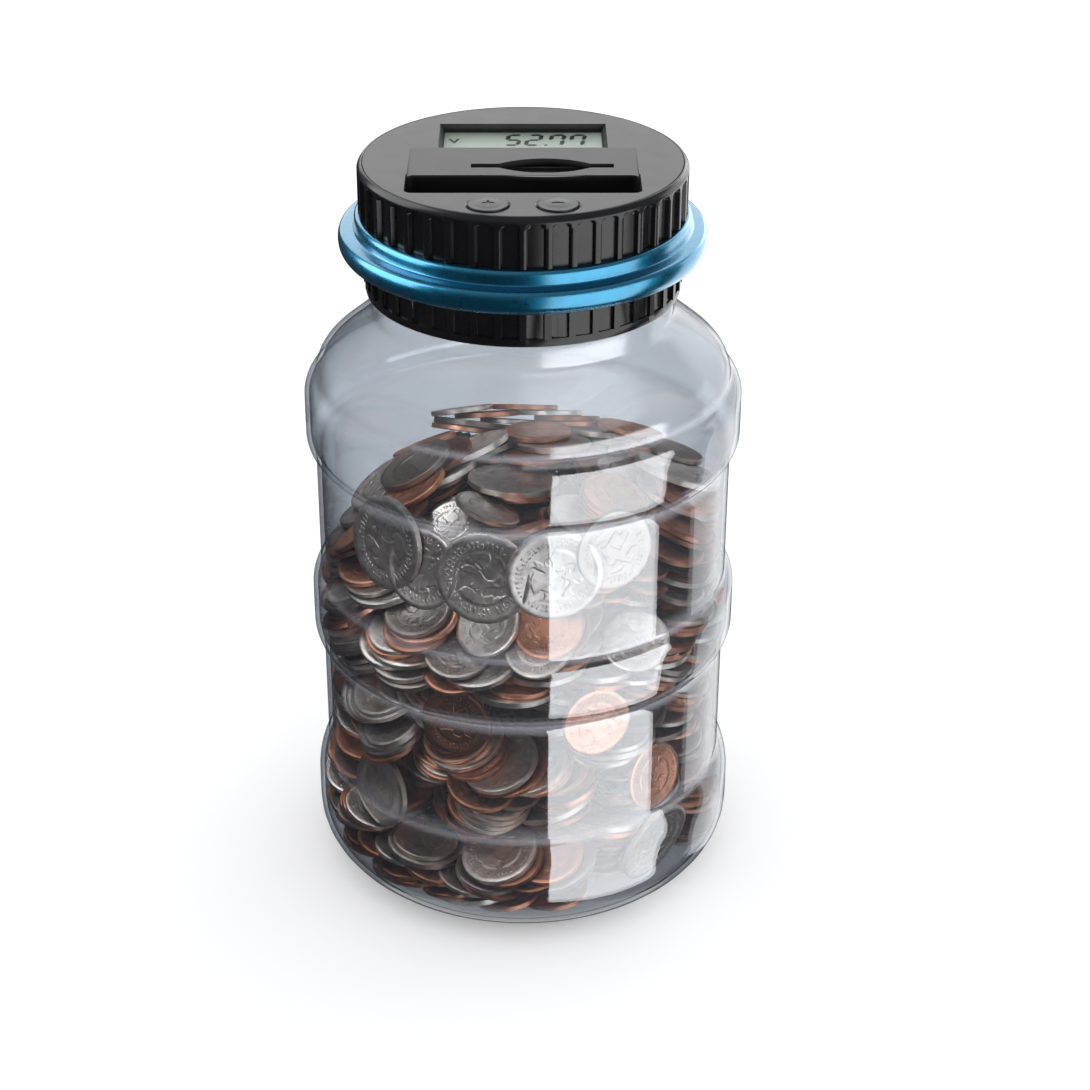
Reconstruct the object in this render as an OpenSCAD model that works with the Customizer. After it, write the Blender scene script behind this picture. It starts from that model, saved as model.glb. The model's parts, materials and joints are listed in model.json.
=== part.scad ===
// Coin counting jar: a clear bottle-shaped jar with a screw-on lid that counts coins.
// Origin at the centre of the foot, +Z up, the buttons towards -Y and the display towards +Y.

/* [Jar] */
// Wall of the jar
jar_wall = 1.2; // [0.8:0.1:1.6]
// Largest radius, at the lower bulge
jar_r = 57.5; // [57:0.1:58]
// Radius of the middle and shoulder bulges
bulge_r = 56.9; // [56.5:0.1:57.3]
// Radius of the two waists
waist_r = 54.5; // [54:0.1:55]
// Height of the foot's push-up at the centre
push_up = 3; // [1:0.5:5]
// Top of the heap of coins at the centre
heap_top = 126; // [60:1:134]

/* [Neck and thread] */
// Radius of the support bead under the cap
bead_r = 38.5; // [38:0.1:39]
// Outer radius of the threaded neck
neck_r = 35.6; // [35.4:0.1:35.7]
// Height of the jar's rim
rim_z = 179.4; // [179:0.1:179.4]
// Rise of the thread in one turn (two starts)
lead = 8; // [8]

/* [Lid] */
// Bottom of the lower ribbed ring
skirt_z = 166.6; // [166.6:0.1:168]
// Top of the lower ribbed ring
ring_z = 178; // [178]
// Top of the trim ring
trim_top = 187; // [186:0.5:188]
// Largest radius of the trim ring
trim_r = 46.7; // [45.5:0.1:47]
// Top of the panel
top_z = 200; // [200]
// Number of grip ribs
rib_count = 42; // [30:1:48]
// Width of one grip rib
rib_w = 1.7; // [1:0.1:2.5]
// Radius over the upper ribs
cap_r = 41.4; // [41:0.1:41.8]

/* [Panel] */
// Width of the display window
window_w = 42.7; // [38:0.1:44]
// Depth of the display window
window_d = 18.4; // [16:0.1:19]
// Length of the coin slit
slit_w = 35.4; // [32:0.1:36]
// Gap of the coin slit
slit_gap = 2.5; // [2.2:0.1:2.8]
// Length of the thumb relief
relief_w = 26; // [24:0.5:27]
// Width of the thumb relief
relief_d = 9.3; // [8.8:0.1:9.4]
// Width of the finger well
well_w = 57.4; // [50:0.1:57.4]
// Depth of the finger well
well_deep = 7.5; // [5:0.5:7.5]
// Radius of a button
button_r = 4.78; // [4.4:0.01:4.8]
// Travel of a button
button_travel = 0.8; // [0.3:0.1:0.8]
// Height of a button over the panel
button_proud = 0.4; // [0.1:0.1:0.5]

/* [Hidden] */
$fn = 96;
e = 0.01;

mouth_r = neck_r - 1.6;
skirt_in = neck_r + 1.7;
skirt_out = skirt_in + 2.3;
spigot_r = skirt_in + 1.2;
sleeve_in = spigot_r + 0.2;
sleeve_out = cap_r - 1.2;
web_z = 180.6;
web_top = 182.4;
panel_z = top_z - 2;
ledge_r = sleeve_in - 0.7;

slit_x = 4.8;
slit_y = -3.7;
relief_x = 5.4;
window_y = 17.3;
well_y1 = -9.8;
well_y0 = -24.4;
ramp_drop = 0.8;
ramp_y = 8;
ramp_w = well_w - 0.6;
button_x = 8.3;
button_y = -32.5;
pivot_y = -6.8;
pivot_z = 195.6;
pin_r = 0.8;
flap_w = 17;
ear_x = 9.6;

cell_r = 5.25;
cell_z = 187.4;
cell_y = [7.2, 18];
board_z = 193;
board_t = 1.6;
lcd_z = 195.4;
small_z = 189;
switch_top = small_z + board_t + 4;
door_axis = [0, 2.2, 181.5];
screws = [[0, 31.2], [30.5, -3], [-30.5, -3], [0, -28.6]];

// ---- helpers ----

// Sweeps a closed outline of [radius, height] points, listed anticlockwise, along a helix.
module helix_sweep(outline, rise, turns, steps) {
    n = len(outline);
    points = [for (i = [0:steps]) let (a = 360 * turns * i / steps)
        for (p = outline) [p[0] * cos(a), p[0] * sin(a), p[1] + rise * turns * i / steps]];
    sides = [for (i = [0:steps - 1]) for (j = [0:n - 1]) let (k = (j + 1) % n)
        [i * n + j, i * n + k, (i + 1) * n + k, (i + 1) * n + j]];
    first = [for (j = [n - 1:-1:0]) j];
    last = [for (j = [0:n - 1]) steps * n + j];
    polyhedron(points = points, faces = concat([first], sides, [last]), convexity = 6);
}

function ring_outline(r, wire, sides) =
    [for (i = [0:sides - 1]) [r + wire * cos(360 * i / sides), wire * sin(360 * i / sides)]];

function unit(v) = v / norm(v);

// Sweeps a round wire through a list of points.
module wire_along(route, r, up, sides = 8) {
    n = len(route);
    points = [for (i = [0:n - 1])
        let (d = unit(route[min(i + 1, n - 1)] - route[max(i - 1, 0)]),
             s = unit(cross(up, d)), t = cross(d, s))
        for (j = [0:sides - 1]) let (a = 360 * j / sides) route[i] + r * (cos(a) * s + sin(a) * t)];
    walls = [for (i = [0:n - 2]) for (j = [0:sides - 1]) let (k = (j + 1) % sides)
        [i * sides + j, (i + 1) * sides + j, (i + 1) * sides + k, i * sides + k]];
    first = [for (j = [0:sides - 1]) j];
    last = [for (j = [sides - 1:-1:0]) (n - 1) * sides + j];
    polyhedron(points = points, faces = concat([first], walls, [last]), convexity = 6);
}

module box(lo, hi) {
    translate(lo) cube(hi - lo);
}

module ring(r_in, r_out, z0, z1) {
    translate([0, 0, z0]) difference() {
        cylinder(r = r_out, h = z1 - z0);
        translate([0, 0, -1]) cylinder(r = r_in, h = z1 - z0 + 2);
    }
}

// Box with its four upright corners rounded.
module pad(lo, hi, r) {
    w = hi[0] - lo[0];
    d = hi[1] - lo[1];
    translate([lo[0], lo[1], lo[2]]) linear_extrude(hi[2] - lo[2]) union() {
        translate([r, 0]) square([w - 2 * r, d]);
        translate([0, r]) square([w, d - 2 * r]);
        for (x = [r, w - r], y = [r, d - r]) translate([x, y]) circle(r = r);
    }
}

module lens_2d(w, d) {
    big = (w * w + d * d) / (4 * d);
    intersection() {
        translate([0, big - d / 2]) circle(r = big);
        translate([0, d / 2 - big]) circle(r = big);
    }
}

// ---- jar ----

// Half outline of the jar, [radius, height]; grow is negative for the inside.
module jar_profile(grow) {
    foot = 14;
    flank = 16.35;
    bend = 5.5;
    dome = 9;
    slope = 50;
    dome_z = 142.8;
    dome_x = waist_r - 0.6 - dome * (1 - cos(slope));
    dome_end = dome_z + dome * sin(slope);
    top = dome_end + (dome_x - bead_r) / tan(slope);
    square([jar_r - foot, 20]);
    translate([jar_r - foot, foot]) circle(r = foot + grow);
    translate([0, foot]) square([jar_r + grow, 8]);
    translate([jar_r - flank, 22]) circle(r = flank + grow);
    translate([0, 20]) square([waist_r + grow, dome_z - 20]);
    for (z = [[71.8, 82], [127.6, 138]]) {
        translate([0, z[0]]) square([bulge_r + grow, z[1] - z[0]]);
        for (h = z) translate([bulge_r - bend, h]) circle(r = bend + grow);
    }
    translate([waist_r - 0.6 - dome, dome_z]) circle(r = dome + grow);
    polygon([[0, 130], [waist_r - 4, 130], [waist_r - 1 + grow, dome_z],
             [dome_x + grow * cos(slope), dome_end + grow * sin(slope)],
             [bead_r + grow * cos(slope), top + grow * sin(slope)], [0, top + grow * sin(slope)]]);
}

module jar_outside() {
    rotate_extrude() difference() {
        union() {
            jar_profile(0);
            square([bead_r, 165.9]);
            square([neck_r, rim_z]);
        }
        translate([-100, -10]) square([100, 220]);
        translate([-1, -20]) square([90, 20]);
    }
}

module jar_inside() {
    rotate_extrude() intersection() {
        union() {
            jar_profile(-jar_wall);
            translate([0, 140]) square([mouth_r, 60]);
            translate([0, 140]) square([bead_r - jar_wall, 24.6]);
        }
        translate([0, 1.8]) square([90, 220]);
    }
}

module foot_hollow() {
    r = 36;
    big = (r * r + push_up * push_up) / (2 * push_up);
    translate([0, 0, push_up - big]) sphere(r = big);
}

jar_thread = [[neck_r - 0.6, -1.1], [neck_r + 1.3, -0.45], [neck_r + 1.3, 0.45], [neck_r - 0.6, 1.1]];

module jar() {
    color([0.8, 0.86, 0.9, 0.4]) {
        difference() {
            jar_outside();
            difference() {
                jar_inside();
                translate([0, 0, 1.6]) foot_hollow();
            }
            foot_hollow();
        }
        for (start = [0, 180])
            rotate([0, 0, start]) translate([0, 0, 169.2]) helix_sweep(jar_thread, lead, 0.75, 27);
    }
}

module coin_heap() {
    gap = 0.5;
    edge = heap_top - 13;
    big = (52 * 52 + 13 * 13) / (2 * 13);
    color([0.72, 0.7, 0.66]) difference() {
        intersection() {
            rotate_extrude() intersection() {
                jar_profile(-jar_wall - gap);
                translate([0, 2.4]) square([90, 140]);
            }
            union() {
                cylinder(r = 80, h = edge);
                translate([0, 0, heap_top - big]) sphere(r = big);
            }
        }
        translate([0, 0, 2.4]) foot_hollow();
    }
}

// ---- lid: threaded floor, trim ring and wall ----

cap_thread = [[skirt_in + 0.6, -1.1], [skirt_in + 0.6, 1.1], [skirt_in - 1.3, 0.45], [skirt_in - 1.3, -0.45]];

module ribs(r, z0, z1) {
    for (i = [0:rib_count - 1])
        rotate([0, 0, 360 * (i + 0.5) / rib_count])
            box([r - 3, -rib_w / 2, z0], [r, rib_w / 2, z1]);
}

module seal_ring() {
    color("whitesmoke") ring(mouth_r + 0.1, skirt_in - 0.25, rim_z + 0.02, web_z - 0.1);
}

module screw_cap() {
    color([0.05, 0.05, 0.06]) {
        difference() {
            union() {
                difference() {
                    union() {
                        translate([0, 0, skirt_z]) cylinder(r = skirt_out, h = ring_z - skirt_z);
                        translate([0, 0, skirt_z]) cylinder(r = skirt_out + 0.4, h = 2);
                        ribs(skirt_out + 0.9, skirt_z + 2, ring_z - e);
                        translate([0, 0, ring_z - 1]) cylinder(r = skirt_out + 1.4, h = 1);
                    }
                    translate([0, 0, skirt_z - 1]) cylinder(r = spigot_r - 1.2, h = 30);
                }
                ring(skirt_in, spigot_r, ring_z - 2, trim_top - 1);
                translate([0, 0, web_z]) cylinder(r = spigot_r - 0.5, h = web_top - web_z);
            }
            box([-16.2, -7.9, web_z - 1], [26.2, 0.5, web_top + 1]);
            box([-23.6, 1.2, web_z - 1], [23.6, 23.9, web_top + 1]);
            for (s = [-1, 1]) translate([s * 23, door_axis[1], door_axis[2]])
                rotate([0, s * 90, 0]) cylinder(r = 0.66, h = 2.2);
            for (p = screws) translate([p[0], p[1], web_z - 1]) cylinder(r = 1.3, h = 4);
        }
        for (start = [0, 180])
            rotate([0, 0, start]) translate([0, 0, 169.2 - 1.7])
                helix_sweep(cap_thread, lead, 0.6, 22);
        for (s = [-1, 1]) translate([s * 11, -30.4, web_top - e])
            cylinder(r = 1.6, h = small_z - web_top);
    }
}

module trim_ring() {
    bead = 3.2;
    bead_z = ring_z + 2.1;
    inner = sleeve_out + 0.2;
    color([0.1, 0.5, 0.75]) rotate_extrude() difference() {
        union() {
            translate([trim_r - bead, bead_z]) circle(r = bead);
            polygon([[inner - 1, ring_z + 0.02], [trim_r - bead, ring_z + 0.02],
                     [trim_r - 1, ring_z + 4.9], [trim_r - 3.7, ring_z + 5.4],
                     [trim_r - 4.2, trim_top - 0.9], [inner + 1.4, trim_top],
                     [inner - 1, trim_top]]);
        }
        translate([0, ring_z - bead]) square([inner, trim_top - ring_z + 2 * bead]);
    }
}

module top_cap() {
    color([0.05, 0.05, 0.06]) difference() {
        union() {
            translate([0, 0, ring_z + 0.1]) cylinder(r = sleeve_out, h = top_z - ring_z - 2);
            ribs(cap_r, trim_top + 0.1, top_z - 2.2);
            translate([0, 0, top_z - 2.3]) cylinder(r = cap_r, h = 1.5);
            translate([0, 0, top_z - 0.8]) cylinder(r1 = cap_r, r2 = cap_r - 0.8, h = 0.8);
        }
        translate([0, 0, ring_z - 1]) cylinder(r = sleeve_in, h = 18);
        translate([0, 0, ring_z + 2]) cylinder(r = ledge_r, h = 30);
        translate([0, 0, panel_z]) cylinder(r = 40.05, h = 3);
        translate([0, 0, ring_z - 1]) cylinder(r = sleeve_in, h = panel_z - ring_z - 0.4);
    }
}

// ---- panel ----

module window_cut() {
    w = window_w / 2;
    side = 1.2;
    translate([0, window_y + window_d / 2, 0]) rotate([90, 0, 0]) linear_extrude(window_d)
        polygon([[side - w, panel_z - 1], [w - side, panel_z - 1], [w - side, panel_z],
                 [w, top_z], [w, top_z + 1], [-w, top_z + 1], [-w, top_z], [side - w, panel_z]]);
}

// Shallow ramp from the display down to the finger well.
module ramp_cut() {
    run = ramp_y - well_y1 + 3;
    tilt = atan(ramp_drop / (ramp_y - well_y1));
    translate([-ramp_w / 2, ramp_y, top_z]) rotate([tilt, 0, 0])
        translate([0, -run, 0]) cube([ramp_w, run, 3]);
}

module well(grow, top) {
    pad([-well_w / 2 - grow, well_y0 - grow, top_z - well_deep - grow],
        [well_w / 2 + grow, well_y1 + grow, top], 2 + grow);
}

// Tongue of the ramp that bulges over the finger well in front of the thumb relief.
module lip() {
    out = 1.2;
    half = 10;
    big = (half * half + out * out) / (2 * out);
    intersection() {
        translate([relief_x, well_y1 - out + big, panel_z]) cylinder(r = big, h = 1.15);
        box([relief_x - half - 2, well_y1 - out - 1, panel_z - 1],
            [relief_x + half + 2, well_y1 + 0.6, top_z]);
    }
}

module top_panel() {
    color([0.1, 0.1, 0.11]) difference() {
        union() {
            difference() {
                union() {
                    translate([0, 0, panel_z]) cylinder(r = 39.9, h = top_z - panel_z);
                    intersection() {
                        well(1.3, panel_z + 1);
                        translate([0, 0, 180]) cylinder(r = ledge_r - 0.1, h = 20);
                    }
                }
                well(0, top_z + 1);
                ramp_cut();
            }
            lip();
            for (p = screws) translate([p[0], p[1], web_top + 0.05])
                cylinder(r = 2.4, h = panel_z - web_top + 0.5);
        }
        window_cut();
        translate([0, 0, panel_z - 1]) linear_extrude(4) {
            translate([slit_x - slit_w / 2, slit_y - slit_gap / 2]) square([slit_w, slit_gap]);
            translate([relief_x, slit_y]) lens_2d(relief_w, relief_d);
        }
        for (s = [-1, 1]) translate([s * button_x, button_y, 0]) {
            translate([0, 0, panel_z - 1]) cylinder(r = button_r + 0.07, h = 4);
            translate([0, 0, top_z - 0.7]) cylinder(r1 = button_r, r2 = button_r + 0.8, h = 0.8);
        }
        for (p = screws) translate([p[0], p[1], web_top - 1]) cylinder(r = 1.15, h = 10);
    }
}

module button(s) {
    disc_z = panel_z + button_travel + 0.15;
    stem_z = switch_top + button_travel + 0.1;
    face_z = top_z + button_proud;
    dome_r = 30;
    translate([s * button_x, button_y, 0]) {
        difference() {
            union() {
                translate([0, 0, disc_z]) cylinder(r = button_r, h = face_z - disc_z);
                translate([0, 0, panel_z - 1]) cylinder(r = button_r - 0.6, h = 2.5);
                intersection() {
                    translate([0, 0, face_z + 0.2 - dome_r]) sphere(r = dome_r);
                    translate([0, 0, face_z - 0.1]) cylinder(r = button_r - 0.2, h = 1);
                }
                box([-6.2, -2, panel_z - 1], [6.2, 2, panel_z - 0.1]);
                translate([0, 0, stem_z]) cylinder(r = 1.8, h = panel_z - 0.5 - stem_z);
            }
            button_sign(s);
        }
    }
}

// Engraved plus on the left button and minus on the right one.
module button_sign(s) {
    long = 1.5;
    half = 0.3;
    cut_z = top_z + button_proud - 0.05;
    box([-long, -half, cut_z], [long, half, cut_z + 2]);
    if (s < 0) box([-half, -long, cut_z], [half, long, cut_z + 2]);
}

module button_plus() {
    color([0.2, 0.2, 0.21]) button(-1);
}

module button_minus() {
    color([0.2, 0.2, 0.21]) button(1);
}

// ---- display and boards ----

module lcd_lens() {
    color([0.8, 0.85, 0.85, 0.4]) box([-22.6, 7, 197.5], [22.6, 27.4, panel_z - 0.02]);
}

module lcd_glass() {
    color([0.62, 0.68, 0.62]) union() {
        box([-23.5, 6.6, lcd_z], [23.5, 27.6, lcd_z + 1]);
        box([-23.5, 7.6, lcd_z + 1 - e], [23.5, 27.2, lcd_z + 2]);
    }
}

module lcd_frame() {
    color([0.15, 0.15, 0.16]) difference() {
        box([-25, 5.2, board_z + board_t + 0.05], [25, 28.5, panel_z - 0.05]);
        box([-23.7, 6.4, board_z], [23.7, 27.8, top_z]);
    }
}

module zebra_strips() {
    color("dimgray") for (y = [7, 25.2])
        box([-22, y, board_z + board_t], [22, y + 2, lcd_z]);
}

module main_board() {
    color([0.05, 0.35, 0.15]) intersection() {
        box([-27, 0.6, board_z], [27, 28.6, board_z + board_t]);
        translate([0, 0, board_z - 1]) cylinder(r = 37, h = 5);
    }
}

module chip_blob() {
    color([0.06, 0.06, 0.06]) translate([0, 16, board_z + board_t]) {
        cylinder(r = 4.6, h = 0.3);
        translate([0, 0, 0.3]) cylinder(r1 = 4.6, r2 = 3.4, h = 0.35);
    }
}

module board_parts() {
    color("silver") translate([0, 0, board_z + board_t]) {
        translate([-20, 2.8, 1.5]) rotate([0, 90, 0]) cylinder(r = 1.2, h = 6);
        for (x = [-11:4:5]) box([x, 1.6, 0], [x + 2, 2.9, 0.7]);
        translate([11, 2.8, 0]) cylinder(r = 1.8, h = 3);
    }
}

module coin_sensor() {
    color([0.1, 0.1, 0.1]) translate([17, 0.8, board_z + board_t]) difference() {
        cube([6, 3.9, 3]);
        translate([2, -1, 1]) cube([2, 6, 3]);
    }
}

module switch_board() {
    color([0.05, 0.35, 0.15]) difference() {
        box([-13, -35.8, small_z], [13, -27.4, small_z + board_t]);
        translate([0, -28.6, small_z - 1]) cylinder(r = 2.8, h = 4);
    }
}

module tact_switches() {
    color("silver") for (s = [-1, 1]) translate([s * button_x, button_y, small_z + board_t]) {
        box([-3, -3, 0], [3, 3, 3.3]);
        translate([0, 0, 3]) cylinder(r = 1.75, h = switch_top - small_z - board_t - 3);
    }
}

// ---- coin path ----

module coin_chute() {
    x0 = -15.7;
    x1 = 25.7;
    color([0.12, 0.12, 0.13]) {
        difference() {
            box([x0, -7.4, web_z - 2], [x1, 0, panel_z - 0.1]);
            box([x0 + 1.2, -6.2, web_z - 3], [x1 - 1.2, -1.2, panel_z + 1]);
            box([relief_x - 10, -9, 189.5], [relief_x + 10, -6, panel_z + 1]);
            box([relief_x - relief_w / 2, -9, 197.2], [relief_x + relief_w / 2, -1, panel_z + 1]);
        }
        for (s = [-1, 1]) difference() {
            box([relief_x + s * ear_x - 0.6, -8.3, 189], [relief_x + s * ear_x + 0.6, -5.2, 197.1]);
            translate([relief_x + s * ear_x - 2, pivot_y, pivot_z]) rotate([0, 90, 0])
                cylinder(r = pin_r + 0.02, h = 4);
        }
    }
}

// Curved flap on a hub that turns on the lever pin.
module coin_lever() {
    half = flap_w / 2;
    color([0.25, 0.25, 0.26]) difference() {
        union() {
            intersection() {
                translate([relief_x - half, -6.5, 190.4]) rotate([0, 90, 0]) difference() {
                    cylinder(r = 8, h = 2 * half);
                    translate([0, 0, -1]) cylinder(r = 6.6, h = 2 * half + 2);
                }
                translate([relief_x, slit_y, 196.6]) linear_extrude(4) lens_2d(2 * half, relief_d - 1);
            }
            translate([relief_x - 8.8, pivot_y, pivot_z]) rotate([0, 90, 0])
                cylinder(r = 1.45, h = 12.8);
            box([relief_x - 3.5, pivot_y - 0.6, pivot_z], [relief_x + 3.5, pivot_y + 0.6, 197.6]);
        }
        translate([relief_x - 10, pivot_y, pivot_z]) rotate([0, 90, 0])
            cylinder(r = pin_r + 0.05, h = 20);
    }
}

module lever_pin() {
    color("silver") translate([relief_x - 9.9, pivot_y, pivot_z]) rotate([0, 90, 0])
        cylinder(r = pin_r, h = 19.8);
}

module lever_spring() {
    color("gainsboro") translate([relief_x + 4.5, pivot_y, pivot_z]) rotate([0, 90, 0])
        helix_sweep(ring_outline(1.15, 0.2, 6), 0.5, 4, 48);
}

// ---- battery compartment ----

module battery_tray() {
    color([0.1, 0.1, 0.11]) difference() {
        box([-26.4, 0.7, web_top + 0.05], [26.4, 24.5, board_z - 0.1]);
        box([-25.3, 1.8, web_top - 1], [25.3, 23.4, board_z + 1]);
    }
}

module cell(y, s) {
    translate([-s * 22.2, y, cell_z]) rotate([0, s * 90, 0]) {
        cylinder(r = cell_r, h = 43.6);
        translate([0, 0, 43.5]) cylinder(r = 1.9, h = 0.9);
    }
}

module cell_left() {
    color([0.15, 0.35, 0.2]) cell(cell_y[0], 1);
}

module cell_right() {
    color([0.15, 0.35, 0.2]) cell(cell_y[1], -1);
}

module contact_springs() {
    color("gainsboro") for (i = [0, 1]) let (s = i == 0 ? 1 : -1)
        translate([-s * 25.1, cell_y[i], cell_z]) rotate([0, s * 90, 0])
            translate([0, 0, 0.35]) helix_sweep(ring_outline(3.2, 0.3, 6), 0.9, 2.4, 36);
}

module contact_plates() {
    color("gainsboro") for (s = [-1, 1]) for (i = [0, 1])
        box([s * 25.2 - 0.1, cell_y[i] - 4, cell_z - 4], [s * 25.2 + 0.1, cell_y[i] + 4, board_z]);
}

module battery_door() {
    color([0.08, 0.08, 0.09]) union() {
        box([-23.3, door_axis[1] - 0.3, 180.7], [23.3, 23.6, 181.9]);
        for (s = [-1, 1]) translate([s * 23, door_axis[1], door_axis[2]])
            rotate([0, s * 90, 0]) cylinder(r = 0.6, h = 1.5);
        box([-5, 20.6, 180.2], [5, 21.4, 181]);
    }
}

module cover_screws() {
    color("silver") for (p = screws) translate([p[0], p[1], 0]) difference() {
        union() {
            translate([0, 0, web_z - 1.4]) cylinder(r = 2.1, h = 1.4);
            translate([0, 0, web_z - 0.1]) cylinder(r = 1.1, h = 8);
        }
        for (a = [0, 90]) rotate([0, 0, a]) box([-1.2, -0.25, web_z - 2], [1.2, 0.25, web_z - 0.7]);
    }
}

button_lead = [[-10, -27.9, 188.55], [-12, -25.6, 188], [-15, -22.6, 188], [-18, -18, 188],
               [-20, -12, 188], [-20.5, -7, 188.5], [-20.5, -4, 190.5], [-20.5, -2.2, 193],
               [-20.5, -1.4, 195], [-20.5, 0.2, 195.6], [-20.5, 1.4, 195.1]];
module wires() {
    for (i = [-1, 0, 1])
        color([0.7, 0.1, 0.1]) translate([i * 1.4 - 1, 0, 0]) wire_along(button_lead, 0.5, [1, 0.2, 0]);
}

jar();
coin_heap();
seal_ring();
screw_cap();
trim_ring();
top_cap();
top_panel();
lcd_lens();
lcd_glass();
lcd_frame();
zebra_strips();
main_board();
chip_blob();
board_parts();
coin_sensor();
switch_board();
tact_switches();
button_plus();
button_minus();
coin_chute();
coin_lever();
lever_pin();
lever_spring();
battery_tray();
cell_left();
cell_right();
contact_springs();
contact_plates();
battery_door();
cover_screws();
wires();
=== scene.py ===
"""Looks of the coin counting jar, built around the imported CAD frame. Lengths are in millimetres
until a mesh is made, the buttons are towards -Y and the display towards +Y."""

import json
import math
import random

import bpy
from mathutils import Euler, Matrix, Vector

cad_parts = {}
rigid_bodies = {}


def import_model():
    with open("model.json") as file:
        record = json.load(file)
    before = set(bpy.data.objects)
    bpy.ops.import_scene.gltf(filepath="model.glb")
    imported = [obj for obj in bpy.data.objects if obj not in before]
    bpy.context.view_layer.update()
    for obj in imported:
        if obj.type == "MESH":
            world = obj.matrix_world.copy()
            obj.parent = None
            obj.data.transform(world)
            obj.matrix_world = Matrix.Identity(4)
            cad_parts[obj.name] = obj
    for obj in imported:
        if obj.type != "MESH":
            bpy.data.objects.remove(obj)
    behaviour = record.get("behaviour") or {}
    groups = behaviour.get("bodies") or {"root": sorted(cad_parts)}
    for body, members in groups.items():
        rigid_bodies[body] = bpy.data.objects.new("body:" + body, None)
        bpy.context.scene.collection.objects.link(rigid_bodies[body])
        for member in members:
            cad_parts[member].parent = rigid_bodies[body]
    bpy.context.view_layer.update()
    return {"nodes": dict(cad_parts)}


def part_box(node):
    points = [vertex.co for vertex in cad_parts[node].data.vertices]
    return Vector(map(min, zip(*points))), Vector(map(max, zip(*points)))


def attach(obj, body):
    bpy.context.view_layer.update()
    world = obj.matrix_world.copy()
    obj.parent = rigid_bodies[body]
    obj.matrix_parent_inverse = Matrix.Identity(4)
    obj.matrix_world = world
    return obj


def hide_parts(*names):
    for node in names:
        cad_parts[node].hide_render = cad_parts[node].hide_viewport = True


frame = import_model()

MM = 0.001
SCENE = bpy.context.scene
NODES = frame["nodes"]


def box_mm(node):
    """Lowest and highest corner of a CAD node, in millimetres."""
    low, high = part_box(node)
    return low / MM, high / MM


# ---------------------------------------------------------------- camera and studio

def radiance_light(name, place, size, target, radiance, receivers=None):
    """Rectangular soft box, size = (width, height) in metres, facing a target point.
    With receivers, the names of pieces and CAD nodes, it lights only those."""
    lamp = bpy.data.lights.new(name, "AREA")
    lamp.shape = "RECTANGLE"
    lamp.size, lamp.size_y = size
    lamp.energy = radiance * math.pi * size[0] * size[1]
    obj = bpy.data.objects.new(name, lamp)
    SCENE.collection.objects.link(obj)
    obj.location = place
    obj.rotation_euler = (Vector(target) - Vector(place)).to_track_quat("-Z", "Y").to_euler()
    obj.visible_camera = False
    if receivers:
        chosen = bpy.data.collections.new(name + "_receivers")
        for receiver in receivers:
            chosen.objects.link(NODES.get(receiver) or bpy.data.objects[receiver])
        obj.light_linking.receiver_collection = chosen


def make_camera():
    """Looks down on the jar from the front, with the small shift that frames it left of centre."""
    lens = bpy.data.cameras.new("camera")
    lens.lens = 78.21
    lens.sensor_width = 36
    lens.shift_x = 0.0202
    lens.shift_y = -0.003
    lens.clip_start = 0.01
    camera = bpy.data.objects.new("camera", lens)
    camera.location = (0, -0.5618, 0.3988)
    camera.rotation_euler = (math.radians(61.32), 0, 0)
    SCENE.collection.objects.link(camera)
    SCENE.camera = camera


def around(azimuth, distance, height):
    """Point at an azimuth from the front (-Y) towards +X."""
    a = math.radians(azimuth)
    return (distance * math.sin(a), -distance * math.cos(a), height)


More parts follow.
